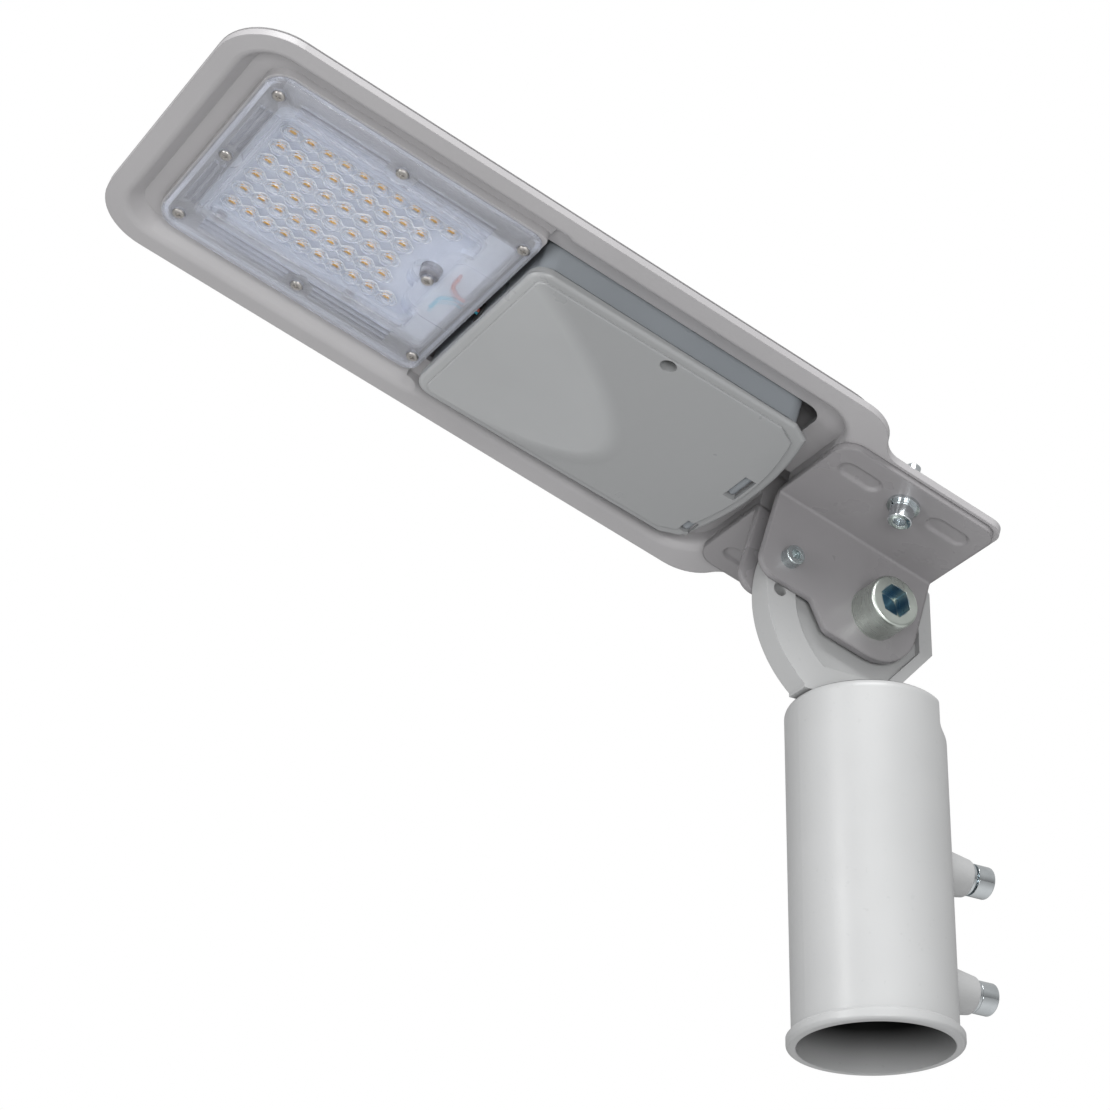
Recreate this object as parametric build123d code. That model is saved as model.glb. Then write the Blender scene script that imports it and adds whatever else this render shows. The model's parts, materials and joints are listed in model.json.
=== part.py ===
from build123d import *
import math
import os

# Street lamp head on a tilting pole spigot. Millimetres.
# Lamp frame: origin at the centre of the spigot's mouth, +Z up the spigot, +X towards
# the way the head reaches, +Y towards the side where the pivot bolt's head is.
# Head frame: origin on the pivot axis, +X along the head, +Z out of its top.

# ---- driving dimensions -------------------------------------------------------------
PIVOT_HEIGHT = 180.0        # pivot axis above the spigot's mouth
REST_TILT = 17.0            # head nose-up angle at rest
HEAD_LENGTH = 366.5
HEAD_WIDTH = 150.0
NECK_WIDTH = 114.0
NECK_OVERHANG = 23.0        # neck end behind the pivot
RIM_Z = 32.2                # rim plane of the housing above the pivot
RUNNING = 0.07              # radial clearance of a running fit
FREE = 0.4                  # clearance between bodies that must not touch

# spigot casting
SOCKET_R = 30.4              # takes the end of a 60 mm pole
SOCKET_DEPTH = 112.0
SPIGOT_WALL = 1.7
SPIGOT_H = 141.0
COLLAR_LIP = 2.15
COLLAR_R = SOCKET_R + SPIGOT_WALL + COLLAR_LIP
COLLAR_H = 5.2
SPIGOT_ROOF = 6.0
SCOOP_X = 16.5              # flat of the relief at the back of the spigot's top
SCOOP_H = 11.0
CABLE_HOLE_R = 6.0
CABLE_HOLE_Y = -15.0
CLAMP_HEIGHTS = {"lower": 29.8, "upper": 78.8}
CLAMP_R = 4.0
CLAMP_HEAD_R = 6.6
CLAMP_HEAD_H = 8.0
CLAMP_HEX = 6.0
CLAMP_BOSS_H = 13.4
CLAMP_BOSS_X = SOCKET_R + SPIGOT_WALL + CLAMP_BOSS_H
CLAMP_BOSS_R = 7.75
CLAMP_WASHER_T = 2.0
CLAMP_GAPS = {"lower": 0.1, "upper": 1.2}    # bare shank between washer and head

# index lug on the spigot
LUG_T = 11.0
LUG_R = 49.5
LUG_RIB_R = 35.7
LUG_BACK = 31.0
LUG_PANEL_T = 5.0
LUG_BOSS_R = 15.0
INDEX_R = 43.1
INDEX_HOLE_R = 2.9
INDEX_STEP = 18.0
INDEX_COUNT = 6
INDEX_SCREW_ANGLE = 2.0

# bracket plates
SHEET = 3.0
WEB_GAP = 0.5
WEB_Y = LUG_T / 2 + WEB_GAP     # inner face of each web from the middle
BRACKET_TIP = 55.5
BRACKET_BACK = 21.1
BRACKET_HALF = 55.6
WEB_LOW = 19.8
WEB_STEP = 9.7
DIMPLE_L = 20.0
DIMPLE_W = 9.0
DIMPLE_D = 1.3
DIMPLES_X = (38.9, -4.9)
FLANGE_X = 16.9
FLANGE_Y = 42.0

# fasteners: shank radius, head radius, head height, hexagon across flats
PIVOT_R = 7.0
PIVOT_HEAD_R = 11.25
PIVOT_HEAD_H = 14.9
PIVOT_HEX = 12.7
INDEX_SCREW_R = 2.5
INDEX_HEAD_R = 4.2
INDEX_HEAD_H = 5.0
FLANGE_R = 3.0
FLANGE_HEAD_R = 5.0
FLANGE_HEAD_H = 6.0
SMALL_R = 1.5               # M3 shank
TRAY_SCREW_R = 2.0

# housing
EDGE_H = 3.8                # height of the upright edge
CROWN = ((0, 0), (14, 10.3), (30, 21), (48, 29.5), (62, 33))   # inset, rise
CROWN_START = 36.0
SKIN_IN = 2.0               # housing skin: inset of its inner face
SKIN = 2.6                  # and its drop
TIP_R = 25.0
SHOULDER_X = 38.7
SHOULDER_RUN = 8.9
TUNNEL_HALF = 10.0
TUNNEL_ROOF = 52.0
TUNNEL_WALL = 4.0
RECESS_START = 54.0
RECESS_HALF = 62.5
LEDGE_Z = 39.5              # ledge around the tray, inside the recess
LEDGE_T = 2.5
LEDGE_START = 66.0
MOAT_HALF = 66.0
MOAT_END = 335.0
MOAT_DEPTH = 6.5
MOAT_DRAFT = 40.0
FIN_PITCH = 9.6
FIN_SLOT = 6.8
FIN_COUNT = 9
FIN_FLOOR = 45.0

# optical unit
LENS_X = (199.4, 321.5)
LENS_HALF = 54.9
LENS_BACK = 35.0            # plane where the lens plate seats
LENS_T = 2.6
WINDOW_EDGE = (216.0, 307.0)         # sunken window over the LEDs
WINDOW_HALF = 35.0
WINDOW_WALL = 1.2
WINDOW_FACE = 36.4
WINDOW_BACK = 37.6
BAY_X = 225.0               # the lead pocket bulges into the window up to here
BAY_HALF = 24.5
BAY_SCREW_R = 8.5
GROOVES = (40.0, 43.2, 46.4)         # lengthwise grooves of the border, from the middle
GROOVE_W = 2.0
GROOVE_DEPTH = 1.6
CROSS_GROOVES = (309.8, 313.0, 316.2)
SCREW_LAND_R = 6.7          # full thickness kept around each lens screw
FROST_X = (202.0, 219.0)    # shallow frosted panel over the leads
FROST_HALF = 20.8
PEDESTAL_X = (199.0, 322.4)
PEDESTAL_HALF = 55.8
POCKET_X = (204.0, 311.0)
POCKET_HALF = 42.0
POCKET_DEPTH = 5.4
BOARD_T = 1.6
BOARD_GAP = 0.5
LENS_SCREWS = [(314.6, 45.4), (314.6, -45.4), (315.3, 0), (259.6, 45.4),
               (259.6, -45.4), (204.2, 45.4), (204.2, -45.4), (222.6, 0)]
BOARD_SCREWS = [(240.0, 39.0), (240.0, -39.0), (300.0, 39.0), (300.0, -39.0)]
LED_X = 300.55
LED_ROW = 10.9
LED_COUNTS = (10, 9, 8, 8, 9, 10)
LED_PITCHES = (8.0, 8.0, 8.8, 8.8, 8.0, 8.0)
LED_SIDE = 3.0
LED_H = 0.8
DOME_R = 3.98
DOME_H = 3.2
LEAD_R = 0.8
LEAD_Y = -6.0
LEAD_Z = 37.95

# driver tray and cover
TRAY_X = (74.0, 196.0)
TRAY_HALF = 50.0
TRAY_EDGE = 28.8
TRAY_TOP = 48.0
TRAY_WALL = 2.0
DRIVER_SCREWS = [(116.0, -22.0), (188.0, -22.0)]
TRAY_SCREWS = [(86.0, 38.0), (86.0, -38.0), (184.0, 38.0), (184.0, -38.0)]
COVER_TIP = 198.6
COVER_FAR = 61.7
COVER_BOW = 6.3
COVER_HALF = 51.0
COVER_MATE = 27.6
COVER_FACE = (26.0, 23.7)   # outer face height at the far edge and at the tip
COVER_SKIN = 1.8
PANEL_INSET = 4.0
PANEL_T = 0.9
HINGE_X = 69.5
HINGE_Z = 29.4
HINGE_R = 1.4
WINDOWS = {"middle": (1.4, 17.0), "side": (-37.5, 9.0)}     # centre, width
WINDOW_X = (67.0, 72.2)
EAR_T = 2.2
EAR_R = 2.8
COVER_SCREW = (132.0, 43.3)
COVER_SCREW_R = 1.9
WELL_R = 3.4
WELL_WALL = 1.5
WELL_TOP = 33.0             # top of the screw well inside the compartment
GROMMET_Y = 20.0
GROMMET_Z = 39.0
CORD_SCREWS = [(83.0, GROMMET_Y - 7.6), (83.0, GROMMET_Y + 7.6)]


# ---- helpers --------------------------------------------------------------------------
def outline(points, radii):
    """A flat face whose corners are rounded, one radius to each corner."""
    return make_face(FilletPolyline(*points, radius=radii, close=True))


def rect_face(x0, x1, half, radii, z=0.0):
    """A rectangle across the head from x0 to x1; radii for the x0 and the x1 corners."""
    points = [(x0, -half), (x1, -half), (x1, half), (x0, half)]
    near, far = radii
    return Pos(0, 0, z) * outline(points, [near, far, far, near])


def slab(face, z0, z1, taper=0.0):
    """A flat face at z=0 raised into a plate between two heights."""
    return Pos(0, 0, z0) * extrude(face, z1 - z0, taper=taper)


def rod(x, y, z0, z1, radius):
    """An upright cylinder between two heights."""
    return Pos(x, y, (z0 + z1) / 2) * Cylinder(radius, z1 - z0)


def cross_rod(x, z, y0, y1, radius):
    """A cylinder along Y between two places."""
    return Pos(x, (y0 + y1) / 2, z) * Rot(90, 0, 0) * Cylinder(radius, y1 - y0)


def hex_prism(flats, height):
    return extrude(RegularPolygon(flats / 2, 6, major_radius=False), height)


def cap_screw(radius, length, head_r, head_h, hexagon):
    """Socket head screw: head from z=0 up, shank from z=0 down."""
    head = Cylinder(head_r, head_h, align=(Align.CENTER, Align.CENTER, Align.MIN))
    head = fillet(head.edges().sort_by(Axis.Z)[-1], head_h * 0.09)
    head -= Pos(0, 0, head_h * 0.45) * hex_prism(hexagon, head_h)
    shank = Cylinder(radius, length, align=(Align.CENTER, Align.CENTER, Align.MAX))
    shank = chamfer(shank.edges().sort_by(Axis.Z)[0], radius * 0.2)
    return head + shank


def ring(radius, bore, height):
    """A flat ring from z=0 up."""
    base = (Align.CENTER, Align.CENTER, Align.MIN)
    return Cylinder(radius, height, align=base) - Cylinder(bore, height, align=base)


def split_ring(radius, bore, height):
    """A spring washer: a ring with a slanting cut."""
    gap = Pos(radius, 0, height / 2) * Rot(25, 0, 0) * Box(radius, height * 0.5, height * 4)
    return ring(radius, bore, height) - gap


def hex_nut(flats, bore, height):
    nut = hex_prism(flats, height)
    nut = chamfer(nut.edges().filter_by(GeomType.LINE).group_by(Axis.Z)[-1], height * 0.06)
    return nut - Cylinder(bore, height * 3)


def pan_screw(x, y, z_head, radius, head_r, head_h, length):
    """Cross-recess screw driven upwards: its head's lower face is at z_head."""
    head = rod(x, y, z_head, z_head + head_h, head_r)
    head = fillet(head.edges().sort_by(Axis.Z)[0], head_h * 0.4)
    slots = Box(head_r, head_r * 0.24, head_h) + Box(head_r * 0.24, head_r, head_h)
    head -= Pos(x, y, z_head) * slots
    return head + rod(x, y, z_head + head_h, z_head + head_h + length, radius)


def group(solids):
    return Compound(children=list(solids))


def in_head(shape):
    """Places a shape of the head frame in the lamp frame."""
    return Pos(0, 0, PIVOT_HEIGHT) * Rot(0, -REST_TILT, 0) * shape


# ---- spigot ---------------------------------------------------------------------------
SPIGOT_R = SOCKET_R + SPIGOT_WALL
LUG_Z = PIVOT_HEIGHT


def lug_point(radius, angle):
    turn = math.radians(angle)
    return radius * math.cos(turn), radius * math.sin(turn)


def lug():
    """Index lug that stands on the spigot's roof: a plate with a rim, a boss and index holes."""
    foot = SPIGOT_H - PIVOT_HEIGHT
    corner = lug_point(LUG_R, 100)
    front = lug_point(LUG_R, -49)
    middle = lug_point(LUG_R, 25)
    edge = Polyline(corner, (-LUG_BACK, 19), (-LUG_BACK, -9), (-15.8, -24.8), (-15.8, foot),
                    (front[0], foot), front)
    face = make_face(edge + ThreePointArc(front, middle, corner))
    plate = extrude(face, LUG_T / 2, both=True)
    inner = make_face(Polyline((60, -27.5), (-8.2, -27.5), (-8.2, -26.2), (-24.6, -9.4),
                               (-24.6, 60), (60, 60), (60, -27.5)))
    inner = Circle(LUG_RIB_R) & inner
    pocket = extrude(inner, LUG_T)
    for side in (1, -1):
        cut = pocket if side > 0 else mirror(pocket, about=Plane.XY)
        plate -= Pos(0, 0, side * LUG_PANEL_T / 2) * cut
    plate += extrude(Circle(LUG_BOSS_R), LUG_T / 2, both=True)
    for step in range(INDEX_COUNT):
        x, z = lug_point(INDEX_R, INDEX_SCREW_ANGLE + INDEX_STEP * step)
        plate -= Pos(x, z, 0) * Cylinder(INDEX_HOLE_R, LUG_T * 2)
    plate -= Cylinder(PIVOT_R, LUG_T * 2)
    return Pos(0, 0, LUG_Z) * Rot(90, 0, 0) * plate


def spigot():
    base = (Align.CENTER, Align.CENTER, Align.MIN)
    tube = Cylinder(SPIGOT_R, SPIGOT_H, align=base)
    tube = fillet(tube.edges().sort_by(Axis.Z)[-1], 4)
    collar = Cylinder(COLLAR_R, COLLAR_H, align=base)
    collar = fillet(collar.edges().group_by(Axis.Z)[0], 1.6)
    collar = chamfer(collar.edges().group_by(Axis.Z)[-1], 1.2)
    body = tube + collar
    top = SPIGOT_H + 1
    scoop = make_face(Polyline((-SCOOP_X, top), (-SCOOP_X, SPIGOT_H - SCOOP_H))
                      + Spline((-SCOOP_X, SPIGOT_H - SCOOP_H), (-21.5, SPIGOT_H - 15.5),
                               (-COLLAR_R, SPIGOT_H - 22), tangents=((0, -1), (-1, -0.5)))
                      + Polyline((-COLLAR_R, SPIGOT_H - 22), (-COLLAR_R - 5, SPIGOT_H - 22),
                                 (-COLLAR_R - 5, top), (-SCOOP_X, top)))
    body -= Rot(90, 0, 0) * extrude(scoop, COLLAR_R * 2, both=True)
    for height in CLAMP_HEIGHTS.values():
        boss = Cone(CLAMP_BOSS_R + 2.4, CLAMP_BOSS_R, CLAMP_BOSS_X - SOCKET_R, align=base)
        body += Pos(-SOCKET_R, 0, height) * Rot(0, -90, 0) * boss
    body -= Cylinder(SOCKET_R, SOCKET_DEPTH, align=base)
    chamber = slab(outline([(-10, -22), (23, -22), (23, 22), (-10, 22)], [6] * 4),
                   SOCKET_DEPTH - 1, SPIGOT_H - SPIGOT_ROOF)
    body -= chamber
    body -= rod(4, CABLE_HOLE_Y, SPIGOT_H - SPIGOT_ROOF - 2, SPIGOT_H + 2, CABLE_HOLE_R)
    for height in CLAMP_HEIGHTS.values():
        hole = Cylinder(CLAMP_R + RUNNING, CLAMP_BOSS_X, align=base)
        body -= Pos(-SOCKET_R + 8, 0, height) * Rot(0, -90, 0) * hole
    return body


def clamp_set(height, gap):
    """A pole clamp screw and its split washer, screwed in from the back."""
    washer_x = -CLAMP_BOSS_X
    head_x = washer_x - CLAMP_WASHER_T - gap
    length = -head_x - SOCKET_R
    screw = cap_screw(CLAMP_R, length, CLAMP_HEAD_R, CLAMP_HEAD_H, CLAMP_HEX)
    washer = split_ring(CLAMP_HEAD_R, CLAMP_R + 0.1, CLAMP_WASHER_T)
    back = Rot(0, -90, 0)
    return Pos(head_x, 0, height) * back * screw, Pos(washer_x, 0, height) * back * washer


# ---- bracket and its fasteners ----------------------------------------------------------
def bracket():
    """The plate on the +Y side: an upright web and a flange under the neck."""
    low = RIM_Z - SHEET
    profile = outline([(WEB_Y, -30), (WEB_Y + SHEET, -30), (WEB_Y + SHEET, low),
                       (BRACKET_HALF, low), (BRACKET_HALF, RIM_Z), (WEB_Y, RIM_Z)],
                      [0, 0, 0.8, 0, 0, 3.8])
    bent = extrude(Plane.YZ * profile, BRACKET_TIP + BRACKET_BACK)
    bent = Pos(-BRACKET_BACK, 0, 0) * bent
    web = outline([(-BRACKET_BACK, RIM_Z + 1), (-BRACKET_BACK, -WEB_LOW), (18.9, -WEB_LOW),
                   (28.4, -WEB_STEP), (BRACKET_TIP, -WEB_STEP), (BRACKET_TIP, RIM_Z + 1)],
                  [0, 20, 5, 3, 8, 0])
    split_y = WEB_Y + SHEET + 0.8
    keep_web = Pos(0, split_y, 0) * Rot(90, 0, 0) * extrude(web, split_y)
    flange = outline([(-BRACKET_BACK, 0), (BRACKET_TIP, 0), (BRACKET_TIP, BRACKET_HALF),
                      (-BRACKET_BACK, BRACKET_HALF)], [0, 0, 9, 7])
    keep_flange = slab(flange, -40, RIM_Z + 1) & (Pos(0, split_y + 50, 0) * Box(400, 100, 400))
    plate = (bent & keep_web) + (bent & keep_flange)
    for x in DIMPLES_X:
        dimple = extrude(SlotOverall(DIMPLE_L, DIMPLE_W), DIMPLE_D, taper=40)
        plate -= Pos(x, FLANGE_Y, low) * dimple
    plate -= rod(FLANGE_X, FLANGE_Y, low - 1, RIM_Z + 1, FLANGE_R + 0.3)
    plate -= cross_rod(0, 0, 0, 20, PIVOT_R)
    x, z = lug_point(INDEX_R, INDEX_SCREW_ANGLE)
    plate -= cross_rod(x, z, 0, 20, INDEX_SCREW_R + RUNNING)
    return plate


def pivot_parts():
    outer = WEB_Y + SHEET
    nut_y = outer + 2.6
    length = outer + nut_y + 14
    bolt = Pos(0, outer, 0) * Rot(-90, 0, 0) * cap_screw(
        PIVOT_R - RUNNING, length, PIVOT_HEAD_R, PIVOT_HEAD_H, PIVOT_HEX)
    washer = Pos(0, -outer, 0) * Rot(90, 0, 0) * split_ring(11.5, PIVOT_R, 2.6)
    nut = Pos(0, -nut_y, 0) * Rot(90, 0, 0) * hex_nut(21, PIVOT_R, 11)
    gap = WEB_Y - LUG_T / 2 - 0.05
    thin = ring(LUG_BOSS_R - 1, PIVOT_R, gap)
    pair = [Pos(0, side * WEB_Y, 0) * Rot(90 * side, 0, 0) * thin for side in (1, -1)]
    return bolt, washer, nut, group(pair)


def index_screw():
    """Short shanked: it ends in the web, short of the lug."""
    outer = WEB_Y + SHEET
    x, z = lug_point(INDEX_R, INDEX_SCREW_ANGLE)
    screw = cap_screw(INDEX_SCREW_R, SHEET, INDEX_HEAD_R, INDEX_HEAD_H, 4)
    return Pos(x, outer, z) * Rot(-90, 0, 0) * screw


def flange_parts():
    low = RIM_Z - SHEET
    bolts, flats, springs, nuts = [], [], [], []
    for side in (1, -1):
        spot = Pos(FLANGE_X, side * FLANGE_Y, 0)
        flats.append(spot * Pos(0, 0, low - 1.4) * ring(6.7, FLANGE_R + 0.2, 1.4))
        springs.append(spot * Pos(0, 0, low - 2.9) * split_ring(5.4, FLANGE_R + 0.1, 1.5))
        bolt = Rot(180, 0, 0) * cap_screw(FLANGE_R, 23.1, FLANGE_HEAD_R, FLANGE_HEAD_H, 5)
        bolts.append(spot * Pos(0, 0, low - 2.9) * bolt)
        nuts.append(spot * Pos(0, 0, RIM_Z + EDGE_H + 2) * hex_nut(10, FLANGE_R, 5))
    return group(bolts), group(flats), group(springs), group(nuts)


# ---- housing ----------------------------------------------------------------------------
TIP_X = HEAD_LENGTH - NECK_OVERHANG
HALF = HEAD_WIDTH / 2
NECK_HALF = NECK_WIDTH / 2
DECK_TOP = RIM_Z + EDGE_H


def housing_outline():
    side = [(-NECK_OVERHANG, NECK_HALF), (SHOULDER_X, NECK_HALF),
            (SHOULDER_X + SHOULDER_RUN, HALF), (TIP_X, HALF)]
    points = [(x, -y) for x, y in side] + side[::-1]
    radii = [7, 11.8, 19.4, TIP_R]
    return outline(points, radii + radii[::-1])


def crown(shift, drop):
    """Gently domed top, or with a shift and a drop its inner face."""
    sections = []
    for inset, rise in CROWN:
        d = inset + shift
        half = HALF - d
        near = max(8, min(33 - 0.5 * d, half - 1))
        far = max(8, min(TIP_R - 0.3 * d, half - 1))
        z = DECK_TOP + rise - drop
        sections.append(rect_face(CROWN_START + d, TIP_X - d, half, (near, far), z))
    return loft(sections)


def housing():
    body = slab(housing_outline(), RIM_Z, DECK_TOP)
    body = chamfer(body.edges().group_by(Axis.Z)[-1], 0.8)
    body += crown(0, 0)
    tunnel_out = TUNNEL_HALF + TUNNEL_WALL
    tunnel = outline([(-tunnel_out, RIM_Z), (tunnel_out, RIM_Z),
                      (tunnel_out, TUNNEL_ROOF + TUNNEL_WALL),
                      (-tunnel_out, TUNNEL_ROOF + TUNNEL_WALL)], [0, 0, 8, 8])
    body += Pos(-NECK_OVERHANG, 0, 0) * extrude(Plane.YZ * tunnel, 120)
    for side in (1, -1):
        body += rod(FLANGE_X, side * FLANGE_Y, DECK_TOP - 1, DECK_TOP + 2, 8)
    # driver recess and the skin above it
    opening = rect_face(RECESS_START, PEDESTAL_X[0], RECESS_HALF, (18, 1))
    recess = crown(SKIN_IN, SKIN) & slab(opening, RIM_Z - 2, 100)
    body -= recess + slab(opening, RIM_Z - 2, DECK_TOP - SKIN + 0.4)
    tray_hole = rect_face(LEDGE_START, PEDESTAL_X[0], TRAY_HALF + 2 * FREE, (7, 1))
    ledge = rect_face(RECESS_START - 1, PEDESTAL_X[0] + 1, RECESS_HALF + 1, (18, 1))
    body += slab(ledge, LEDGE_Z, LEDGE_Z + LEDGE_T) - slab(tray_hole, 0, 100)
    # moat around the optical unit, then its pedestal
    moat = rect_face(PEDESTAL_X[0] - 11, MOAT_END, MOAT_HALF, (10, 17))
    body -= slab(moat, RIM_Z, RIM_Z + MOAT_DEPTH, taper=MOAT_DRAFT)
    body -= slab(moat, RIM_Z - 1, RIM_Z)
    body += slab(rect_face(*PEDESTAL_X, PEDESTAL_HALF, (3, 10)), LENS_BACK,
                 RIM_Z + MOAT_DEPTH + 2)
    pocket_top = LENS_BACK + POCKET_DEPTH
    pocket = slab(rect_face(*POCKET_X, POCKET_HALF, (4, 4)), LENS_BACK - 1, pocket_top)
    boss_x, boss_y = LENS_SCREWS[-1]
    body -= pocket - rod(boss_x, boss_y, LENS_BACK, pocket_top, 4)
    body -= gasket_ring(LENS_BACK - 0.5, LENS_BACK + 1.2)
    # channel for the index lug, open at the neck's end
    channel = Pos(-NECK_OVERHANG - 1, 0, 0) * Box(
        RECESS_START + NECK_OVERHANG + 12, TUNNEL_HALF * 2, TUNNEL_ROOF - RIM_Z + 2,
        align=(Align.MIN, Align.CENTER, Align.MIN))
    body -= Pos(0, 0, RIM_Z - 2) * channel
    # cooling fins over the LED board, level with the crown
    for i in range(FIN_COUNT):
        y = (i - (FIN_COUNT - 1) / 2) * FIN_PITCH
        slot = SlotOverall(104 - abs(y) * 0.5, FIN_SLOT)
        body -= Pos(266, y, FIN_FLOOR) * extrude(slot, 60)
    # tray pillars, screw holes and the lead hole
    pillar = crown(0.5, 0.5)
    for x, y in TRAY_SCREWS:
        body += rod(x, y, TRAY_TOP, 90, 4.5) & pillar
        body -= rod(x, y, TRAY_TOP - 1, TRAY_TOP + 6.2, TRAY_SCREW_R)
    for x, y in LENS_SCREWS:
        body -= rod(x, y, LENS_BACK - 1, LENS_BACK + 8, SMALL_R)
    for x, y in BOARD_SCREWS:
        body -= rod(x, y, pocket_top - 1, pocket_top + 3.2, SMALL_R)
    for side in (1, -1):
        body -= rod(FLANGE_X, side * FLANGE_Y, RIM_Z - 1, DECK_TOP + 3, FLANGE_R + 0.3)
    lead_hole = Cylinder(1.9, POCKET_X[0] - PEDESTAL_X[0] + 4)
    body -= Pos((POCKET_X[0] + PEDESTAL_X[0]) / 2, LEAD_Y, LEAD_Z) * Rot(0, 90, 0) * lead_hole
    rims = [e for e in body.edges().filter_by_position(Axis.Z, RIM_Z - 0.01, RIM_Z + 0.01)
            if e.center().X > RECESS_START - 1 and abs(e.center().Y) < MOAT_HALF + 0.5
            and e.center().X < MOAT_END + 1]
    return fillet(rims, 4.0)


# ---- optical unit -----------------------------------------------------------------------
def gasket_ring(z0, z1):
    x0, x1 = LENS_X
    outer = rect_face(x0 + 0.8, x1 - 0.8, LENS_HALF - 0.8, (5, 8))
    inner = rect_face(x0 + 2.4, x1 - 2.4, LENS_HALF - 2.4, (3.4, 6.4))
    return slab(outer, z0, z1) - slab(inner, z0, z1)


def led_places():
    for row, (count, pitch) in enumerate(zip(LED_COUNTS, LED_PITCHES)):
        y = LED_ROW * (2.5 - row)
        for i in range(count):
            yield LED_X - pitch * i, y


def lens_window(grow):
    """Plan of the sunken window, with a bay around the lead pocket and its screw."""
    x0, x1 = WINDOW_EDGE
    plan = rect_face(x0 - grow, x1 + grow, WINDOW_HALF + grow, (4, 4))
    plan -= rect_face(x0 - 20, BAY_X - grow, BAY_HALF - grow, (2, 9 - grow))
    return plan - Pos(*LENS_SCREWS[-1]) * Circle(BAY_SCREW_R - grow)


def border_grooves():
    """Grooves that leave thin ribs along the border, stopping short of the screws."""
    x0, x1 = WINDOW_EDGE
    face = LENS_BACK - LENS_T
    lengthwise = [Pos((x0 + x1) / 2, side * y) * Rectangle(x1 - x0 - 4, GROOVE_W)
                  for y in GROOVES for side in (1, -1)]
    across = [Pos(x) * Rectangle(GROOVE_W, WINDOW_HALF * 2) for x in CROSS_GROOVES]
    plan = Sketch() + lengthwise + across
    plan -= [Pos(x, y) * Circle(SCREW_LAND_R) for x, y in LENS_SCREWS]
    return slab(plan, face - 1, face + GROOVE_DEPTH)


def lens_plate():
    x0, x1 = LENS_X
    face = LENS_BACK - LENS_T
    plate = slab(rect_face(x0, x1, LENS_HALF, (6, 9)), face, LENS_BACK)
    plate = fillet(plate.edges().group_by(Axis.Z)[0], 0.8)
    plate += slab(lens_window(WINDOW_WALL), LENS_BACK - 1, WINDOW_BACK)
    plate -= slab(lens_window(0), face - 1, WINDOW_FACE)
    plate -= border_grooves()
    fx0, fx1 = FROST_X
    plate -= slab(rect_face(fx0, fx1, FROST_HALF, (2, 5)), face - 1, face + 0.5)
    domes = [Pos(x, y, WINDOW_FACE + DOME_R - DOME_H) * Sphere(DOME_R) for x, y in led_places()]
    below = Pos(0, 0, WINDOW_FACE) * Box(900, 300, 60,
                                         align=(Align.CENTER, Align.CENTER, Align.MAX))
    plate += [dome & below for dome in domes]
    for x, y in LENS_SCREWS:
        plate -= rod(x, y, face - 1, LENS_BACK + 1, SMALL_R + 0.1)
        plate -= rod(x, y, face - 1, face + 1.2, 3.0)
    return plate


def lens_screws():
    z = LENS_BACK - LENS_T - 0.6
    return group(pan_screw(x, y, z, SMALL_R, 2.6, 1.8, 8.6) for x, y in LENS_SCREWS)


def led_board():
    x0, x1 = POCKET_X
    top = LENS_BACK + POCKET_DEPTH
    board = slab(rect_face(x0 + BOARD_GAP, x1 - BOARD_GAP, POCKET_HALF - BOARD_GAP, (2, 2)),
                 top - BOARD_T, top)
    board -= rod(*LENS_SCREWS[-1], top - 3, top + 1, 4.6)
    for x, y in BOARD_SCREWS:
        board -= rod(x, y, top - 3, top + 1, SMALL_R)
    return board


def led_chips():
    z = LENS_BACK + POCKET_DEPTH - BOARD_T
    chip = Pos(0, 0, z - LED_H) * Box(LED_SIDE, LED_SIDE, LED_H,
                                      align=(Align.CENTER, Align.CENTER, Align.MIN))
    return group(Pos(x, y, 0) * chip for x, y in led_places())


def board_screws():
    z = LENS_BACK + POCKET_DEPTH - BOARD_T - 1.2
    return group(pan_screw(x, y, z, SMALL_R, 2.4, 1.2, 4.4) for x, y in BOARD_SCREWS)


def tube(points, radius, radii):
    path = FilletPolyline(*points, radius=radii)
    start = Plane(path @ 0, z_dir=path % 0)
    return sweep(start * Circle(radius), path)


def led_lead(side):
    """One lead from the driver, through both walls, to its pad on the board."""
    y = LEAD_Y + side * (LEAD_R + 0.05)
    z = LEAD_Z
    points = [(185.0, y, z), (207.0, y, z), (212.2, y + side * 4.2, z),
              (212.4, y + side * 12.0, z)]
    return tube(points, LEAD_R, [5, 5])


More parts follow.
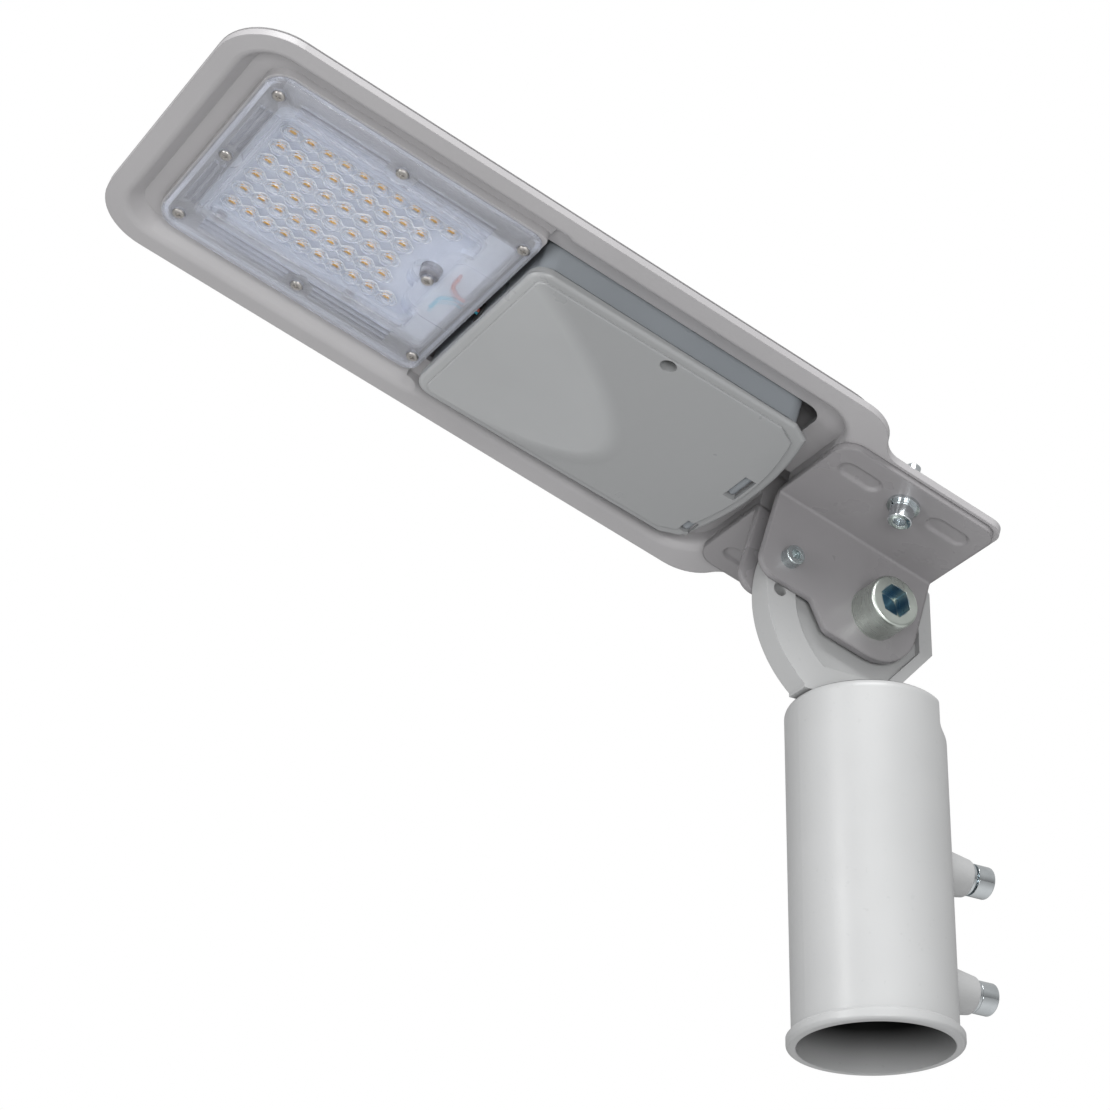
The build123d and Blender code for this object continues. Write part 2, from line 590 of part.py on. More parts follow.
# ---- driver compartment -----------------------------------------------------------------
def driver_tray():
    x0, x1 = TRAY_X
    outer = slab(rect_face(x0, x1, TRAY_HALF, (6, 6)), TRAY_EDGE, TRAY_TOP)
    outer = fillet(outer.edges().group_by(Axis.Z)[-1], 2)
    w = TRAY_WALL
    body = outer - slab(rect_face(x0 + w, x1 - w, TRAY_HALF - w, (4, 4)), TRAY_EDGE - 1,
                        TRAY_TOP - w)
    for x, y in TRAY_SCREWS:
        body -= rod(x, y, TRAY_TOP - 4, TRAY_TOP + 1, TRAY_SCREW_R + 0.2)
    screw_x, screw_y = COVER_SCREW
    for x, y in (*DRIVER_SCREWS, *CORD_SCREWS):
        body -= rod(x, y, TRAY_TOP - w - 1, TRAY_TOP + 1, SMALL_R)
    boss_low = WELL_TOP + 0.8
    body += rod(screw_x, screw_y, boss_low, TRAY_TOP - w, 5.4)
    body -= rod(screw_x, screw_y, boss_low - 1, boss_low + 8, COVER_SCREW_R + 1.6)
    body -= Pos(x0, GROMMET_Y, GROMMET_Z) * Rot(0, 90, 0) * Cylinder(5, 8)
    body -= Pos(x1, LEAD_Y, LEAD_Z) * Rot(0, 90, 0) * Cylinder(3.2, 8)
    for centre, width in WINDOWS.values():
        arm_w = width - 2 * FREE - 1.2
        arm = Box(x0 + 0.2 - HINGE_X, arm_w, 2.4, align=(Align.MIN, Align.CENTER, Align.CENTER))
        body += Pos(HINGE_X, centre, HINGE_Z) * arm
        body += cross_rod(HINGE_X, HINGE_Z, centre - arm_w / 2, centre + arm_w / 2, 2.5)
        body -= cross_rod(HINGE_X, HINGE_Z, centre - width, centre + width, HINGE_R)
    return body


def hinge_bars():
    bars = []
    for centre, width in WINDOWS.values():
        reach = width / 2 + EAR_T + 0.6
        bars.append(cross_rod(HINGE_X, HINGE_Z, centre - reach, centre + reach, HINGE_R))
    return group(bars)


def cover_face(inset):
    """Plan of the cover: straight sides, a bowed far edge."""
    x1 = COVER_TIP - inset
    half = COVER_HALF - inset
    knee = COVER_FAR + COVER_BOW + inset
    side_x = knee + 8
    r = max(2.5, 8 - inset)
    far = ThreePointArc((knee, half - 5), (COVER_FAR + inset, 0), (knee, -half + 5))
    edge = Polyline((knee, -half + 5), (side_x, -half))
    edge += FilletPolyline((side_x, -half), (x1, -half), (x1, half), (side_x, half),
                           radius=[r, r])
    edge += Polyline((side_x, half), (knee, half - 5))
    return make_face(edge + far)


def under_plane(shift):
    """Everything above the cover's slightly sloping face, moved up by a shift."""
    far, tip = COVER_FACE
    slope = math.degrees(math.atan2(far - tip, COVER_TIP - COVER_FAR))
    block = Box(400, 200, 60, align=(Align.CENTER, Align.CENTER, Align.MIN))
    return Pos(COVER_FAR, 0, far + shift) * Rot(0, slope, 0) * block


def driver_cover():
    low = COVER_FACE[1] - 3
    body = slab(cover_face(0), low, COVER_MATE) & under_plane(0)
    body = fillet(body.faces().sort_by(Axis.Z)[0].edges(), 1.6)
    body -= slab(cover_face(2.4), low, COVER_MATE + 1) & under_plane(COVER_SKIN)
    panel = slab(cover_face(PANEL_INSET), low, COVER_MATE - 0.5)
    panel &= under_plane(-PANEL_T) - under_plane(0.5)
    body += fillet(panel.faces().sort_by(Axis.Z)[0].edges(), 0.6)
    screw_x, screw_y = COVER_SCREW
    inside = Box(400, 2 * (TRAY_HALF - TRAY_WALL - FREE), 100)
    body += rod(screw_x, screw_y, 25.0, WELL_TOP, WELL_R + WELL_WALL) & inside
    body -= rod(screw_x, screw_y, low, WELL_TOP - WELL_WALL, WELL_R)
    body -= rod(screw_x, screw_y, low, WELL_TOP + 1, COVER_SCREW_R + 0.1)
    wx0, wx1 = WINDOW_X
    for centre, width in WINDOWS.values():
        cut = Box(wx1 - wx0, width, 30, align=(Align.MIN, Align.CENTER, Align.CENTER))
        body -= Pos(wx0, centre, 25) * cut
        for side in (1, -1):
            y0 = centre + side * width / 2
            y1 = y0 + side * EAR_T
            lo, hi = min(y0, y1), max(y0, y1)
            ear = cross_rod(HINGE_X, HINGE_Z, lo, hi, EAR_R)
            foot = Box(EAR_R * 2, EAR_T, 3.0, align=(Align.CENTER, Align.CENTER, Align.MAX))
            body += ear + Pos(HINGE_X, (lo + hi) / 2, HINGE_Z) * foot
            body -= cross_rod(HINGE_X, HINGE_Z, lo, hi, HINGE_R + RUNNING)
    return body


def cover_screw():
    x, y = COVER_SCREW
    head_h = 2.2
    return pan_screw(x, y, WELL_TOP - WELL_WALL - head_h, COVER_SCREW_R, 3.1, head_h, 7)


def tray_gasket():
    x0, x1 = TRAY_X
    outer = rect_face(x0 + 0.3, x1 - 0.3, TRAY_HALF - 0.3, (5.5, 5.5))
    inner = rect_face(x0 + 1.9, x1 - 1.9, TRAY_HALF - 1.9, (4, 4))
    return slab(outer, COVER_MATE + 0.1, TRAY_EDGE) - slab(inner, COVER_MATE, TRAY_EDGE + 1)


def tray_screws():
    z = TRAY_TOP - TRAY_WALL - 2.4
    return group(pan_screw(x, y, z, TRAY_SCREW_R, 4.0, 2.4, 8) for x, y in TRAY_SCREWS)


def led_driver():
    top = TRAY_TOP - TRAY_WALL
    body = Pos(152, -14, top) * Box(66, 40, 15, align=(Align.CENTER, Align.CENTER, Align.MAX))
    body = fillet(body.edges().filter_by(Axis.Z), 2)
    body = fillet(body.edges().group_by(Axis.Z)[0], 1)
    for x in (116, 188):
        body += Pos(x, -14, top) * Box(8, 20, 2, align=(Align.CENTER, Align.CENTER, Align.MAX))
        body -= rod(x, -22, top - 5, top + 1, 1.6)
    for i in range(5):
        body -= Pos(152, -26 + i * 6, top - 15) * Box(50, 2, 1.6)
    return body


def driver_screws():
    z = TRAY_TOP - TRAY_WALL - 2 - 1.6
    return group(pan_screw(x, y, z, SMALL_R, 2.6, 1.6, 3.4) for x, y in DRIVER_SCREWS)


def terminal_block():
    top = TRAY_TOP - TRAY_WALL
    body = Pos(98, 16, top) * Box(12, 30, 11, align=(Align.CENTER, Align.CENTER, Align.MAX))
    body = fillet(body.edges().group_by(Axis.Z)[0], 0.8)
    for i in range(3):
        y = 6 + i * 10
        body -= rod(98, y, top - 12, top - 6, 2.6)
        body -= Pos(98, y, top - 4) * Rot(0, 90, 0) * Cylinder(1.9, 20)
    return body


def terminal_screws():
    top = TRAY_TOP - TRAY_WALL
    screws = []
    for i in range(3):
        screw = rod(98, 6 + i * 10, top - 9.5, top - 6, 2.4)
        screws.append(screw - Pos(98, 6 + i * 10, top - 9.5) * Box(6, 0.8, 2))
    return group(screws)


def supply_leads():
    z = TRAY_TOP - TRAY_WALL - 4
    leads = []
    for y, end_y in ((6, -8), (16, -2)):
        points = [(100, y, z), (106, y, z), (112, end_y, z - 3), (118.9, end_y, z - 3)]
        leads.append(tube(points, 1.0, [3, 3]))
    return group(leads)


def grommet(outer, bore, wall, flange):
    body = ring(outer, bore, wall + 2 * flange)
    groove = ring(outer + 1, outer - 1.2, wall)
    return body - Pos(0, 0, flange) * groove


def cable_grommet():
    body = grommet(6.2, 3.4, TRAY_WALL, 1.6)
    return Pos(TRAY_X[0] - 1.6, GROMMET_Y, GROMMET_Z) * Rot(0, 90, 0) * body


def lead_grommet():
    body = grommet(4.4, 1.9, TRAY_WALL, 1.0)
    return Pos(TRAY_X[1] - TRAY_WALL - 1.0, LEAD_Y, LEAD_Z) * Rot(0, 90, 0) * body


def cord_clamp():
    top = TRAY_TOP - TRAY_WALL
    body = Pos(83, GROMMET_Y, top) * Box(7, 22, 4.5, align=(Align.CENTER, Align.CENTER, Align.MAX))
    body = fillet(body.edges().group_by(Axis.Z)[0], 1)
    body -= Pos(83, GROMMET_Y, top) * Rot(0, 90, 0) * Cylinder(3.2, 20)
    for side in (1, -1):
        body -= rod(83, GROMMET_Y + side * 7.6, top - 6, top + 1, 1.6)
    return body


def cord_clamp_screws():
    z = TRAY_TOP - TRAY_WALL - 4.5 - 1.8
    return group(pan_screw(x, y, z, SMALL_R, 2.6, 1.8, 6) for x, y in CORD_SCREWS)


# ---- everything, node by node -------------------------------------------------------------
def build():
    nodes = {"spigot": spigot(), "index_lug": lug()}
    for name, height in CLAMP_HEIGHTS.items():
        screw, washer = clamp_set(height, CLAMP_GAPS[name])
        nodes["clamp_screw_" + name] = screw
        nodes["clamp_washer_" + name] = washer
    head = {"bracket_near": bracket(), "bracket_far": mirror(bracket(), about=Plane.XZ)}
    names = ("pivot_bolt", "pivot_spring_washer", "pivot_nut", "tilt_washers")
    head.update(zip(names, pivot_parts()))
    names = ("flange_bolts", "flange_washers", "flange_spring_washers", "flange_nuts")
    head.update(zip(names, flange_parts()))
    makers = (index_screw, housing, lens_plate, lens_screws, led_board, led_chips, board_screws,
              driver_tray, hinge_bars, driver_cover, cover_screw, tray_gasket, tray_screws,
              led_driver, driver_screws, terminal_block, terminal_screws, supply_leads,
              cable_grommet, lead_grommet, cord_clamp, cord_clamp_screws)
    for maker in makers:
        head[maker.__name__] = maker()
    head["lens_gasket"] = gasket_ring(LENS_BACK, LENS_BACK + 1.2)
    head["led_lead_red"] = led_lead(1)
    head["led_lead_blue"] = led_lead(-1)
    nodes.update({name: in_head(shape) for name, shape in head.items()})
    return nodes


os.makedirs("parts", exist_ok=True)
for node, shape in build().items():
    export_step(shape, "parts/" + node + ".step")
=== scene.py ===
"""Street lamp head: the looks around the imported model, laid out as a Blender add-on."""

import json
import math

import bmesh
import bpy
from bpy.props import (
    FloatProperty,
    FloatVectorProperty,
    PointerProperty,
)
from bpy.types import Operator, Panel, PropertyGroup
from mathutils import Matrix, Vector


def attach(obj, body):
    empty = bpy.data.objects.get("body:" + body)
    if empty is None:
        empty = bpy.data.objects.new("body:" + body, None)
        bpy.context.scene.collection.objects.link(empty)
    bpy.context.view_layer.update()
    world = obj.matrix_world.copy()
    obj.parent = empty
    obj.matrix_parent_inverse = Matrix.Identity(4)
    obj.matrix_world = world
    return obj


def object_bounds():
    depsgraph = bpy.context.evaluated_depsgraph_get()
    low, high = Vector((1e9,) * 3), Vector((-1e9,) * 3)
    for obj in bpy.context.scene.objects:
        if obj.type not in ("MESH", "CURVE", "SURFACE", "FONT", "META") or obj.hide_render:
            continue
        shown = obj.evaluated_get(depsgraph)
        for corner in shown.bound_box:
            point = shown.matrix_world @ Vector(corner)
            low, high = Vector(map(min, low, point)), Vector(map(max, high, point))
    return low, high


bl_info = {
    "name": "Street lamp head",
    "version": (1, 0, 0),
    "blender": (4, 5, 0),
    "location": "View3D > Sidebar > Lamp head",
    "description": "Builds the finish, the clear optics and the studio around a street lamp head",
    "category": "Object",
}

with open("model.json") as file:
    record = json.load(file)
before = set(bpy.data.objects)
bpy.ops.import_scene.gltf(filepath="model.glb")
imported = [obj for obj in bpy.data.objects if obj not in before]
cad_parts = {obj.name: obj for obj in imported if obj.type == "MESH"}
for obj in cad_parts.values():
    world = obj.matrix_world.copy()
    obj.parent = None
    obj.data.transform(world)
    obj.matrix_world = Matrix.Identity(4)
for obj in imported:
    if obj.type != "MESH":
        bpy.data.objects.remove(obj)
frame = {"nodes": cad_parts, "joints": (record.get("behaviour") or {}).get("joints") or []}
CAD_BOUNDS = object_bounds()

# ---- places taken from the frame -----------------------------------------------------
JOINTS = {joint["name"]: joint for joint in frame["joints"]}
TILT = JOINTS["head_tilt"]
REST_TILT = math.radians(TILT["range_deg"][0])
# The head's own frame: origin on the tilt pivot, +X along the head, +Z out of its top.
HEAD = Matrix.Translation(TILT["pos_m"]) @ Matrix.Rotation(REST_TILT, 4, "Y")
CENTRE = (Vector(CAD_BOUNDS[0]) + Vector(CAD_BOUNDS[1])) / 2
MM = 0.001

# ---- places of the fine details, in millimetres --------------------------------------
# The cover's raised field, in a frame turned with its axis.
SWEEP_TURN = math.radians(14.7)
SWEEP_AXIS = -56.1
SWEEP_NOSE = 110.3
SWEEP_BEND = 0.0343
SWEEP_SOFT = 5.0
SWEEP_RISE = 1.1
# Between the outer and the inner face of the cover, where the field fades out.
COVER_SKIN_Z = (25.2, 25.5)
# Patches of the lens plate: middle along the head, half length and half width.
FROST = (210.5, 8.5, 20.8)
WINDOW = (261.5, 44.0, 34.0)
# Height of the dome feet, and the radius and tube of the painted highlight rings round them.
DOME_FOOT_Z = 36.35
DOME_R = 3.3
DOME_RING_R = 0.2
# Rim left round a chip's phosphor, its corner, and the steps of its raised face.
PHOSPHOR_RIM = 0.05
PHOSPHOR_CORNER = 0.6
PHOSPHOR_STEPS = ((0.0, 0.02), (0.0, -0.04), (0.18, -0.12))
# The pole socket's wall, and the heights where its painted shade starts and is full.
BORE_R = (30.6, 30.9)
BORE_FADE = (-3.0, 18.0)
# Where the painted shade in the pivot bolt's hexagon ends on its face.
HEXAGON_R = (6.2, 6.9)


# ---- node helpers --------------------------------------------------------------------
class Shader:
    """A material's node tree with one Principled shader, filled in steps."""

    def __init__(self, name):
        self.material = bpy.data.materials.new(name)
        self.material.use_nodes = True
        self.tree = self.material.node_tree
        self.principled = self.tree.nodes["Principled BSDF"]
        self.coordinates = self.tree.nodes.new("ShaderNodeTexCoord").outputs["Object"]
        self.normal = None

    def node(self, kind, **values):
        made = self.tree.nodes.new(kind)
        for key, value in values.items():
            setattr(made, key, value)
        return made

    def link(self, source, target):
        self.tree.links.new(source, target)

    def set(self, **values):
        for key, value in values.items():
            self.principled.inputs[key.replace("_", " ")].default_value = value
        return self

    def stretched(self, stretch):
        """Coordinates that draw a grain out along the axes with a small stretch."""
        mapping = self.node("ShaderNodeMapping")
        self.link(self.coordinates, mapping.inputs["Vector"])
        mapping.inputs["Scale"].default_value = stretch
        return mapping.outputs["Vector"]

    def noise(self, scale, detail=3.0, rough=0.5, stretch=None):
        made = self.node("ShaderNodeTexNoise")
        made.inputs["Scale"].default_value = scale
        made.inputs["Detail"].default_value = detail
        made.inputs["Roughness"].default_value = rough
        self.link(self.stretched(stretch) if stretch else self.coordinates, made.inputs["Vector"])
        return made.outputs["Fac"]

    def remap(self, value, low, high, to_low=0.0, to_high=1.0):
        """Carries a value from one range to another and stops it at the ends."""
        made = self.node("ShaderNodeMapRange")
        numbers = {"From Min": low, "From Max": high, "To Min": to_low, "To Max": to_high}
        for key, number in numbers.items():
            made.inputs[key].default_value = number
        self.link(value, made.inputs["Value"])
        return made.outputs["Result"]

    def blend_colour(self, factor, first, second):
        """A mix of two colours, each a colour or another node's output."""
        made = self.node("ShaderNodeMix", data_type="RGBA")
        self.link(factor, made.inputs["Factor"])
        for socket, value in ((made.inputs[6], first), (made.inputs[7], second)):
            if isinstance(value, bpy.types.NodeSocket):
                self.link(value, socket)
            else:
                socket.default_value = (*value, 1.0)
        return made.outputs[2]

    def maths(self, operation, *values):
        made = self.node("ShaderNodeMath", operation=operation)
        for socket, value in zip(made.inputs, values):
            if isinstance(value, bpy.types.NodeSocket):
                self.link(value, socket)
            else:
                socket.default_value = value
        return made.outputs[0]

    def axes(self, matrix):
        """Millimetre coordinates in the frame that a matrix gives, one output to each axis."""
        inverse = matrix.inverted()
        mapping = self.node("ShaderNodeMapping")
        self.link(self.coordinates, mapping.inputs["Vector"])
        mapping.inputs["Location"].default_value = inverse.translation / MM
        mapping.inputs["Rotation"].default_value = inverse.to_euler()
        mapping.inputs["Scale"].default_value = (1 / MM, 1 / MM, 1 / MM)
        split = self.node("ShaderNodeSeparateXYZ")
        self.link(mapping.outputs["Vector"], split.inputs["Vector"])
        return [split.outputs[axis] for axis in "XYZ"]

    def reach(self, first, second):
        """Distance from an axis, from the two coordinates across it."""
        squares = [self.maths("MULTIPLY", value, value) for value in (first, second)]
        return self.maths("SQRT", self.maths("ADD", *squares))

    def colour(self, value):
        self.link(value, self.principled.inputs["Base Color"])
        return self

    def roughness(self, value):
        self.link(value, self.principled.inputs["Roughness"])
        return self

    def soft_edges(self, radius):
        """Shades sharp edges as if the coat had rounded them by a radius in metres."""
        made = self.node("ShaderNodeBevel", samples=4)
        made.inputs["Radius"].default_value = radius
        self.normal = made.outputs["Normal"]
        self.link(self.normal, self.principled.inputs["Normal"])
        return self

    def bump(self, height, depth, strength=1.0):
        made = self.node("ShaderNodeBump")
        made.inputs["Distance"].default_value = depth
        made.inputs["Strength"].default_value = strength
        self.link(height, made.inputs["Height"])
        if self.normal:
            self.link(self.normal, made.inputs["Normal"])
        self.normal = made.outputs["Normal"]
        self.link(self.normal, self.principled.inputs["Normal"])
        return self


def shade(colour, factor):
    """A lighter or darker shade of a colour."""
    return tuple(min(1.0, channel * factor) for channel in colour)


# ---- finishes ------------------------------------------------------------------------
def powder_coat(name, colour, rough, grain, depth, specks=0.0, round_over=0.0005, detail=None):
    """Baked powder paint: fine orange peel, faint clouding and, if asked, casting specks."""
    paint = Shader(name).set(Roughness=rough, Specular_IOR_Level=0.45).soft_edges(round_over)
    clouds = paint.remap(paint.noise(18.0, 2.0), 0.3, 0.7)
    tone = paint.blend_colour(clouds, shade(colour, 0.96), shade(colour, 1.03))
    if specks:
        dots = paint.remap(paint.noise(420.0, 1.0), 0.70, 0.76)
        tone = paint.blend_colour(dots, tone, shade(colour, 1.0 - specks))
    if detail:
        tone = detail(paint, tone, colour)
    paint.colour(tone)
    patches = paint.noise(60.0, 3.0)
    paint.roughness(paint.remap(patches, 0.3, 0.7, rough - 0.05, rough + 0.05))
    paint.bump(paint.noise(grain, 2.0, 0.6), depth, 0.35)
    return paint.material


def painted_bore_shade(paint, tone, colour):
    """The pole socket's inside is painted dark as shade, from nothing at the mouth to near black
    deeper in.
    """
    x, y, z = paint.axes(Matrix())
    inside = paint.remap(paint.reach(x, y), *BORE_R, 1.0, 0.0)
    depth = paint.remap(z, *BORE_FADE)
    # Painted shade: near black on the socket's inside wall, fading in with depth.
    return paint.blend_colour(paint.maths("MULTIPLY", inside, depth), tone, (0.008, 0.008, 0.008))


def swept_face(paint, tone, colour):
    """A shallow raised field on the cover, bounded by a parabola with a soft step; off the field the
    coat is painted darker as shade.
    """
    x, y, z = paint.axes(HEAD @ Matrix.Rotation(SWEEP_TURN, 4, "Z"))
    across = paint.maths("SUBTRACT", y, SWEEP_AXIS)
    bend = paint.maths("MULTIPLY", paint.maths("MULTIPLY", across, across), SWEEP_BEND)
    field = paint.maths("SUBTRACT", paint.maths("SUBTRACT", x, SWEEP_NOSE), bend)
    slope = paint.maths("MULTIPLY", across, 2 * SWEEP_BEND)
    length = paint.maths("SQRT", paint.maths("ADD", paint.maths("MULTIPLY", slope, slope), 1.0))
    step = paint.node("ShaderNodeMapRange", interpolation_type="SMOOTHSTEP")
    step.inputs["From Min"].default_value = -SWEEP_SOFT
    step.inputs["From Max"].default_value = SWEEP_SOFT
    paint.link(paint.maths("DIVIDE", field, length), step.inputs["Value"])
    outside = paint.remap(z, *COVER_SKIN_Z, 1.0, 0.0)
    raised = paint.maths("MULTIPLY", step.outputs["Result"], outside)
    paint.bump(raised, SWEEP_RISE * MM, 1.0)
    # Painted shade: everywhere off the raised field the coat is 20% darker.
    return paint.blend_colour(raised, shade(colour, 0.80), tone)


def plated(name, colour, rough, stretch, lines, detail=None):
    """Zinc plate over a turned surface: lines round the axis and a faint blue cast."""
    metal = Shader(name).set(Metallic=1.0).soft_edges(0.00025)
    cast = metal.remap(metal.noise(120.0, 3.0), 0.35, 0.65)
    tone = metal.blend_colour(cast, colour, shade(colour, 0.86))
    metal.colour(detail(metal, tone) if detail else tone)
    turned = metal.noise(lines, 4.0, 0.6, stretch)
    metal.roughness(metal.remap(turned, 0.3, 0.7, rough - 0.08, rough + 0.12))
    metal.bump(turned, 0.000012, 0.5)
    return metal.material


def painted_socket_shade(metal, tone):
    """Painted shade: a dark blue tint in the pivot bolt's hexagon."""
    x, y, z = metal.axes(Matrix.Translation(TILT["pos_m"]))
    inner = metal.remap(metal.reach(x, z), *HEXAGON_R, 1.0, 0.0)
    return metal.blend_colour(inner, tone, (0.10, 0.20, 0.29))


def plain_plastic(name, colour, rough, grain=700.0, depth=0.00003):
    """Moulded plastic or rubber with faint clouding and a fine grain."""
    plastic = Shader(name).set(Roughness=rough)
    patches = plastic.remap(plastic.noise(90.0, 3.0), 0.3, 0.7)
    plastic.colour(plastic.blend_colour(patches, shade(colour, 0.93), shade(colour, 1.05)))
    plastic.roughness(plastic.remap(plastic.noise(200.0, 2.0), 0.3, 0.7, rough - 0.06, rough + 0.06))
    plastic.bump(plastic.noise(grain, 2.0), depth, 0.4)
    return plastic.material


def dress(material, *nodes):
    """Gives CAD nodes a finish."""
    for name in nodes:
        mesh = frame["nodes"][name].data
        mesh.materials.clear()
        mesh.materials.append(material)


# ---- mesh helpers --------------------------------------------------------------------
def on_head(name, grown, material):
    """Turns a bmesh in the head's millimetres into a smooth object that rides on the head."""
    mesh = bpy.data.meshes.new(name)
    bmesh.ops.recalc_face_normals(grown, faces=grown.faces)
    grown.to_mesh(mesh)
    grown.free()
    mesh.transform(HEAD @ Matrix.Scale(MM, 4))
    made = bpy.data.objects.new(name, mesh)
    bpy.context.scene.collection.objects.link(made)
    mesh.materials.append(material)
    mesh.shade_smooth()
    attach(made, "head")


def rounded_outline(x0, x1, y0, y1, radius, steps=6):
    """Points round a rectangle with round corners, in millimetres."""
    corners = ((x1 - radius, y1 - radius, 0), (x0 + radius, y1 - radius, 90),
               (x0 + radius, y0 + radius, 180), (x1 - radius, y0 + radius, 270))
    points = []
    for cx, cy, start in corners:
        for step in range(steps + 1):
            turn = math.radians(start + 90 * step / steps)
            points.append((cx + radius * math.cos(turn), cy + radius * math.sin(turn)))
    return points


def add_loft(grown, rings):
    """Skins a closed solid through rings of points, with both ends capped."""
    loops = [[grown.verts.new(point) for point in ring] for ring in rings]
    count = len(loops[0])
    for low, high in zip(loops, loops[1:]):
        for i in range(count):
            j = (i + 1) % count
            grown.faces.new((low[i], low[j], high[j], high[i]))
    grown.faces.new(loops[0])
    grown.faces.new(reversed(loops[-1]))


def pad_rings(x0, x1, y0, y1, radius, profile):
    """Rings for a pad with rounded edges; the profile lists inset and height pairs."""
    rings = []
    for inset, z in profile:
        points = rounded_outline(x0 + inset, x1 - inset, y0 + inset, y1 - inset,
                                 max(radius - inset, 0.05))
        rings.append([(x, y, z) for x, y in points])
    return rings


# ---- settings ------------------------------------------------------------------------
class CoatSettings(PropertyGroup):
    """Colours of the painted castings and sheet parts."""

    spigot: FloatVectorProperty(
        name="Spigot grey", description="Coat of the pole spigot", subtype="COLOR",
        default=(0.38, 0.384, 0.386), min=0.0, max=1.0)
    housing: FloatVectorProperty(
        name="Housing grey", description="Coat of the housing casting", subtype="COLOR",
        default=(0.345, 0.338, 0.345), min=0.0, max=1.0)
    bracket: FloatVectorProperty(
        name="Bracket grey", description="Coat of the two bracket plates", subtype="COLOR",
        default=(0.235, 0.228, 0.235), min=0.0, max=1.0)
    cover: FloatVectorProperty(
        name="Cover grey", description="Coat of the driver cover", subtype="COLOR",
        default=(0.34, 0.347, 0.352), min=0.0, max=1.0)
    tray: FloatVectorProperty(
        name="Tray grey", description="Coat of the driver tray", subtype="COLOR",
        default=(0.24, 0.26, 0.28), min=0.0, max=1.0)


class StageSettings(PropertyGroup):
    """Camera, lights and floor."""

    azimuth: FloatProperty(
        name="Azimuth", description="Camera direction round the lamp, from +X", subtype="ANGLE",
        default=math.radians(60.24))
    elevation: FloatProperty(
        name="Elevation", description="Camera height angle; negative looks up", subtype="ANGLE",
        default=math.radians(-27.78))
    roll: FloatProperty(
        name="Roll", description="Turn of the camera about its view", subtype="ANGLE",
        default=math.radians(0.945))
    aim: FloatVectorProperty(
        name="Aim", description="Point that the camera looks at", subtype="XYZ", unit="LENGTH",
        default=(0.145, 0.0023, 0.170))
    distance: FloatProperty(
        name="Distance", description="Camera to aim point", unit="LENGTH", default=1.2, min=0.3)
    lens: FloatProperty(
        name="Lens", description="Focal length in millimetres", default=101.5, min=20.0)
    world_fill: FloatProperty(
        name="Room fill", description="Brightness of the white room as it lights the lamp",
        default=0.27, min=0.0)
    floor_drop: FloatProperty(
        name="Floor drop", description="Floor below the spigot's mouth", unit="LENGTH",
        default=1.1, min=0.0)


# ---- operators -----------------------------------------------------------------------
class LAMP_OT_coats(Operator):
    """Paint the castings and the sheet parts"""

    bl_idname = "lamp.coats"
    bl_label = "Painted parts"

    def execute(self, context):
        coats = context.scene.lamp_coats
        dress(powder_coat("spigot_coat", coats.spigot, 0.36, 650.0, 0.00006, 0.05,
                          detail=painted_bore_shade), "spigot")
        dress(powder_coat("lug_coat", coats.spigot, 0.38, 650.0, 0.00006, 0.05), "index_lug")
        dress(powder_coat("housing_coat", coats.housing, 0.40, 900.0, 0.00006), "housing")
        dress(powder_coat("bracket_coat", coats.bracket, 0.30, 800.0, 0.00005,
                          round_over=0.0016), "bracket_near", "bracket_far")
        dress(powder_coat("cover_coat", coats.cover, 0.32, 1400.0, 0.00003,
                          detail=swept_face), "driver_cover")
        dress(powder_coat("tray_coat", coats.tray, 0.32, 500.0, 0.00008), "driver_tray")
        return {"FINISHED"}


class LAMP_OT_fasteners(Operator):
    """Give the screws, bolts and washers their plated finish"""

    bl_idname = "lamp.fasteners"
    bl_label = "Fasteners"

    def execute(self, context):
        along_y = plated("zinc_across", (0.62, 0.68, 0.69), 0.22, (0.05, 1.0, 0.05), 1500.0)
        dress(along_y, "pivot_spring_washer", "pivot_nut", "index_screw")
        bolt = plated("zinc_pivot", (0.66, 0.71, 0.66), 0.30, (0.05, 1.0, 0.05), 1500.0,
                      painted_socket_shade)
        dress(bolt, "pivot_bolt")
        upright = plated("zinc_upright", (0.70, 0.74, 0.76), 0.16, (0.3, 0.3, 1.0), 1200.0)
        dress(upright, "flange_bolts", "flange_washers", "flange_spring_washers", "flange_nuts",
              "tray_screws", "driver_screws", "terminal_screws", "cord_clamp_screws")
        along_x = plated("zinc_along", (0.70, 0.74, 0.76), 0.16, (1.0, 0.05, 0.05), 1500.0)
        dress(along_x, "clamp_screw_lower", "clamp_screw_upper", "clamp_washer_lower",
              "clamp_washer_upper")
        steel = plated("stainless_steel", (0.50, 0.48, 0.46), 0.32, (0.4, 0.4, 1.0), 900.0)
        dress(steel, "lens_screws", "board_screws", "cover_screw", "hinge_bars")
        return {"FINISHED"}


class LAMP_OT_inner(Operator):
    """Give the hidden electrical parts and the seals their finish"""

    bl_idname = "lamp.inner"
    bl_label = "Inner parts and seals"

    def execute(self, context):
        dress(plain_plastic("black_seal", (0.03, 0.03, 0.03), 0.65), "tray_gasket",
              "cable_grommet", "lead_grommet")
        dress(plain_plastic("clear_silicone", (0.74, 0.76, 0.82), 0.35), "lens_gasket")
        dress(plain_plastic("clamp_polyamide", (0.06, 0.06, 0.065), 0.5), "cord_clamp")
        dress(plain_plastic("terminal_polyamide", (0.70, 0.68, 0.62), 0.35), "terminal_block")
        dress(plain_plastic("slip_polymer", (0.62, 0.61, 0.56), 0.5), "tilt_washers")
        dress(plain_plastic("supply_sleeve", (0.05, 0.05, 0.055), 0.45), "supply_leads")
        dress(plain_plastic("red_sleeve", (0.55, 0.12, 0.08), 0.35), "led_lead_red")
        dress(plain_plastic("blue_sleeve", (0.08, 0.48, 0.62), 0.35), "led_lead_blue")
        case = plated("driver_aluminium", (0.55, 0.56, 0.57), 0.40, (0.05, 1.0, 1.0), 700.0)
        dress(case, "led_driver")
        return {"FINISHED"}


